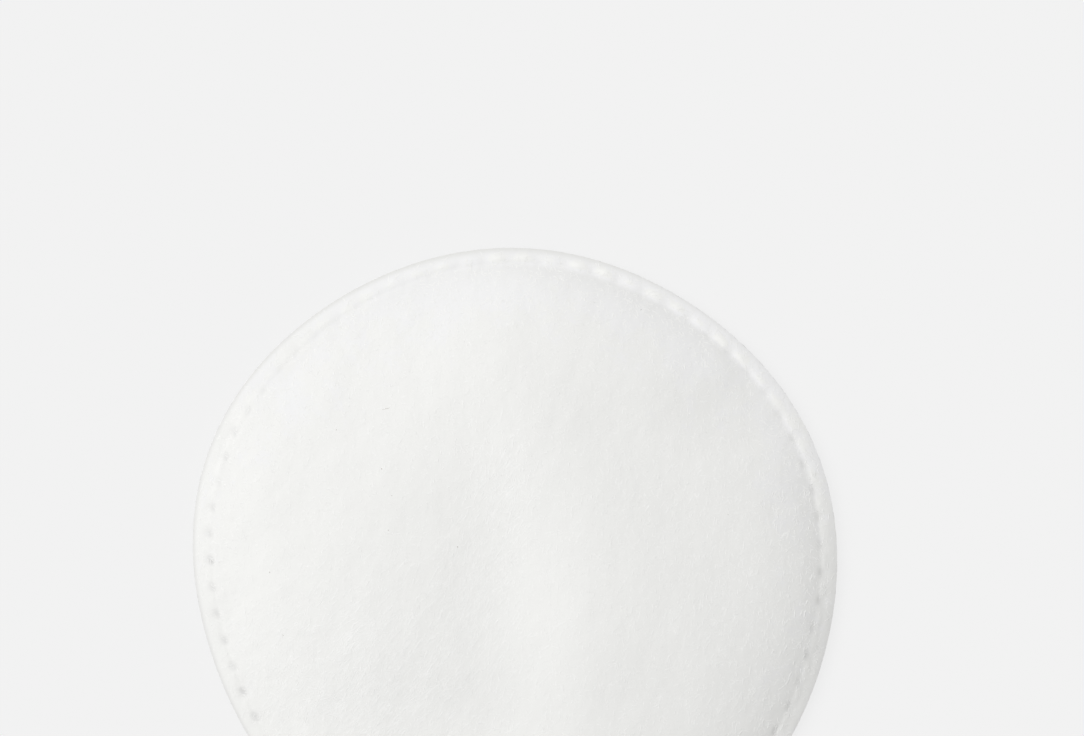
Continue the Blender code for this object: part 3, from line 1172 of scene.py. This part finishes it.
# %% A few crumbs of husk
# direction, x, y, length and width
SPECKS = measured((
    (13, -11.65, 14.4, 0.75, 0.026),
    (0, -12.0, 9.0, 0.10, 0.090),
    (40, -11.1, 6.6, 0.07, 0.055),
    (0, -11.4, 3.5, 0.06, 0.055),
    (70, -5.2, 2.0, 0.09, 0.080),
    (0, -16.1, 12.5, 0.08, 0.060),
    (30, -22.1, -0.3, 0.08, 0.065),
    (0, 11.3, 23.3, 0.085, 0.075),
    (60, 19.1, 4.9, 0.06, 0.050),
    (20, -20.9, -6.0, 0.07, 0.060),
))
SPECK_SIDES = 8
SPECK_HALF_HEIGHT = 0.02 * MM


def speck_points(direction, x, y, length, width):
    """An oval ring of points that follows the face, and one point above and one below its middle."""
    turned = np.arange(SPECK_SIDES) * 2 * math.pi / SPECK_SIDES
    u, v = 0.5 * length * np.cos(turned), 0.5 * width * np.sin(turned)
    c, s = math.cos(direction), math.sin(direction)
    px, py = np.append(x + u * c - v * s, [x, x]), np.append(y + u * s + v * c, [y, y])
    lift = np.append(np.zeros(SPECK_SIDES), [SPECK_HALF_HEIGHT, -SPECK_HALF_HEIGHT])
    return np.stack([px, py, top_height(px, py) + lift], 1)


points, faces = [], []
for speck in SPECKS:
    first, above = len(points), len(points) + SPECK_SIDES
    points += centred(speck_points(*speck)).tolist()
    for side in range(SPECK_SIDES):
        a, b = first + side, first + (side + 1) % SPECK_SIDES
        faces += [(a, b, above), (b, a, above + 1)]
mesh = bpy.data.meshes.new("husk_specks")
mesh.from_pydata(points, [], faces)
specks = placed("husk_specks", mesh)
print(len(SPECKS), "specks with", len(faces), "triangles")

# %% [markdown]
# ## The finish of the fleece
#
# Cotton is matt and nearly white, in patches of a warm and a cool white. Its grain is much finer than the
# mesh. Everything in the finish is worked out from the place on the object, so it needs no image, and it
# sticks to the pad when the camera moves. Four helpers take up what all finishes here share: a matt
# shader, a noise, a value stretched to another range, and a mix of two colours.

# %% Helpers for matt, patchy finishes
GLOSS = 0.1


def matt_finish(name):
    """A finish with hardly any gloss. Comes with its tree, its shader's inputs and the place on the piece."""
    finish, tree = new_finish(name)
    shader = tree.nodes["Principled BSDF"].inputs
    shader["Specular IOR Level"].default_value = GLOSS
    return finish, tree, shader, tree.nodes.new("ShaderNodeTexCoord").outputs["Object"]


def noise(tree, place, scale, detail, roughness=0.5):
    """A noise pattern with so many patches to the metre."""
    node = tree.nodes.new("ShaderNodeTexNoise")
    node.inputs["Scale"].default_value = scale
    node.inputs["Detail"].default_value = detail
    node.inputs["Roughness"].default_value = roughness
    tree.links.new(place, node.inputs["Vector"])
    return node.outputs["Fac"]


def stretched(tree, value, low, high, first=0.0, last=1.0):
    """A value that runs from first to last while the given one runs from low to high."""
    node = tree.nodes.new("ShaderNodeMapRange")
    for name, number in (("From Min", low), ("From Max", high), ("To Min", first), ("To Max", last)):
        node.inputs[name].default_value = number
    tree.links.new(value, node.inputs["Value"])
    return node.outputs["Result"]


def between(tree, amount, first, second, clamped=True):
    """A colour between two. The first may be another node's output."""
    node = tree.nodes.new("ShaderNodeMix")
    node.data_type = "RGBA"
    node.clamp_factor = clamped
    tree.links.new(amount, node.inputs["Factor"])
    a, b = [socket for socket in node.inputs if socket.type == "RGBA"]
    if isinstance(first, tuple):
        a.default_value = first
    else:
        tree.links.new(first, a)
    b.default_value = second
    return [socket for socket in node.outputs if socket.type == "RGBA"][0]


print("matt_finish, noise, stretched and between are ready")

# %% [markdown]
# The patches come from one noise with much fine detail. The attribute "cool" is added to it, so that the
# cool white wins more often near the upper rim. Then the grey attribute mixes in the grey of pressed cotton
# and the painted shade. Its factor isn't clamped, because it is below 0 where the cut wall and the left of
# the body get painted light and the beads and one stretch of the lip are painted whiter.

# %% The colour of the fleece
WARM_WHITE = (0.838, 0.838, 0.822, 1)
COOL_WHITE = (0.838, 0.838, 0.838, 1)
# the grey of pressed cotton, also used for the painted shade
GREY_OF_PRESS_AND_SHADE = (0.770, 0.770, 0.758, 1)
PATCH_SCALE = 260
PATCH_DETAIL = 9
PATCH_ROUGHNESS = 0.80
PATCH_FROM = 0.64
PATCH_TO = 0.72


def attribute(tree, name):
    """What a mesh attribute says at each point."""
    node = tree.nodes.new("ShaderNodeAttribute")
    node.attribute_name = name
    return node.outputs["Fac"]


fleece, tree, shader, place = matt_finish("cotton_fleece")
patches = noise(tree, place, PATCH_SCALE, PATCH_DETAIL, PATCH_ROUGHNESS)
cooler = stretched(tree, worked_out(tree, "ADD", patches, attribute(tree, "cool")), PATCH_FROM, PATCH_TO)
white = between(tree, cooler, WARM_WHITE, COOL_WHITE)
# mixes in the pressed grey, the painted shade and the painted light
white = between(tree, attribute(tree, "pressed_grey_and_painted_shading"), white, GREY_OF_PRESS_AND_SHADE, clamped=False)
tree.links.new(white, shader["Base Color"])
print("cotton_fleece goes from", WARM_WHITE[:3], "to", COOL_WHITE[:3])

# %% [markdown]
# Single fibres are about 0.02 mm thick, which is too fine for a mesh. They are a bump pattern: a noise
# that is stretched to several times its width looks like short hairs. Three such noises, each turned
# another way, cross like felt, and at each point the highest one counts. The same hairs make the roughness
# vary a little. The fibres also bunch up into low lumps about 1 mm wide. These are a second, coarser bump
# under the first, and are a little longer from top to bottom, as in the photograph.

# %% The felt of single fibres
FELT_TURNS = (25 * DEGREE, 85 * DEGREE, 145 * DEGREE)
FELT_SCALE = 3600
FELT_DETAIL = 1.5
FELT_STRETCH = 0.22
FELT_HEIGHT = 0.018 * MM
LUMP_SCALE = 1150
LUMP_DETAIL = 1.5
LUMP_STRETCH = 1.5
LUMP_HEIGHT = 0.032 * MM
ROUGH_LOW = 0.9
ROUGH_HIGH = 1.0


def drawn_out(tree, place, scale, turned):
    """A place for a pattern that is drawn out by a scale and then turned."""
    node = tree.nodes.new("ShaderNodeMapping")
    node.vector_type = "TEXTURE"
    node.inputs["Rotation"].default_value = (0, 0, turned)
    node.inputs["Scale"].default_value = scale
    tree.links.new(place, node.inputs["Vector"])
    return node.outputs[0]


def hairs(tree, place, turned):
    """Short hairs that all run in one direction."""
    return noise(tree, drawn_out(tree, place, (1 / FELT_STRETCH, 1, 1), turned), FELT_SCALE, FELT_DETAIL)


def bumped(tree, height, distance):
    """A bump node that raises the surface by up to a distance."""
    node = tree.nodes.new("ShaderNodeBump")
    node.inputs["Distance"].default_value = distance
    tree.links.new(height, node.inputs["Height"])
    return node


def felted(tree, shader, place):
    """Gives a finish its felt: the lumps, the hairs on them and the roughness."""
    felt = hairs(tree, place, FELT_TURNS[0])
    for turned in FELT_TURNS[1:]:
        felt = worked_out(tree, "MAXIMUM", felt, hairs(tree, place, turned))
    lumps = noise(tree, drawn_out(tree, place, (1, LUMP_STRETCH, 1), 0), LUMP_SCALE, LUMP_DETAIL)
    on_lumps = bumped(tree, felt, FELT_HEIGHT)
    tree.links.new(bumped(tree, lumps, LUMP_HEIGHT).outputs[0], on_lumps.inputs["Normal"])
    tree.links.new(on_lumps.outputs[0], shader["Normal"])
    tree.links.new(stretched(tree, felt, 0.0, 1.0, ROUGH_LOW, ROUGH_HIGH), shader["Roughness"])


felted(tree, shader, place)
pad.data.materials.append(fleece)
print("the felt is", round(FELT_HEIGHT / MM, 3), "mm high, its lumps", round(LUMP_HEIGHT / MM, 3), "mm")

# %% [markdown]
# ## The finish of the wisps
#
# A loose wisp is painted a little whiter than the face, partly for the air it holds and partly as painted
# sheen of its fibres. Some are denser than others, so their white varies from clump to clump. They have
# the same felt as the face.

# %% White wisps
CLUMP_SCALE = 1400
CLUMP_DETAIL = 2
CLUMP_FROM = 0.3
CLUMP_TO = 0.7
DENSE_WHITE = (0.840, 0.840, 0.826, 1)
# the whiter end is partly painted sheen
AIRY_AND_SHEEN_WHITE = (0.872, 0.872, 0.859, 1)

lint, tree, shader, place = matt_finish("cotton_wisps")
clumps = stretched(tree, noise(tree, place, CLUMP_SCALE, CLUMP_DETAIL), CLUMP_FROM, CLUMP_TO)
tree.links.new(between(tree, clumps, DENSE_WHITE, AIRY_AND_SHEEN_WHITE), shader["Base Color"])
felted(tree, shader, place)
for coat in wisps:
    coat.data.materials.append(lint)
print("cotton_wisps is on", len(wisps), "coats")

# %% [markdown]
# ## The finish of the husk
#
# Seed husk is a dry, greyish brown shell, lighter where it is thin. Even on crumbs this small a noise that
# is finer than the crumb keeps them from looking like ink, and gives them a rough face.

# %% Brown husk
HUSK_SCALE = 25000
HUSK_DETAIL = 2
HUSK_FROM = 0.35
HUSK_TO = 0.65
HUSK_DARK = (0.22, 0.18, 0.14, 1)
HUSK_LIGHT = (0.38, 0.34, 0.28, 1)
HUSK_BUMP = 0.006 * MM

husk, tree, shader, place = matt_finish("seed_husk")
grain = stretched(tree, noise(tree, place, HUSK_SCALE, HUSK_DETAIL), HUSK_FROM, HUSK_TO)
tree.links.new(between(tree, grain, HUSK_DARK, HUSK_LIGHT), shader["Base Color"])
tree.links.new(stretched(tree, grain, 0.0, 1.0, ROUGH_LOW, ROUGH_HIGH), shader["Roughness"])
tree.links.new(bumped(tree, grain, HUSK_BUMP).outputs[0], shader["Normal"])
specks.data.materials.append(husk)
print("seed_husk is on", specks.name)

# %% [markdown]
# ## Hand over
#
# All of them ride on the one body, "root". The dressed body stands for the imported solid, which is hidden,
# and the wisps and specks are extra.

for piece in [pad, specks] + wisps:
    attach(piece, "root")
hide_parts("cotton_pad")
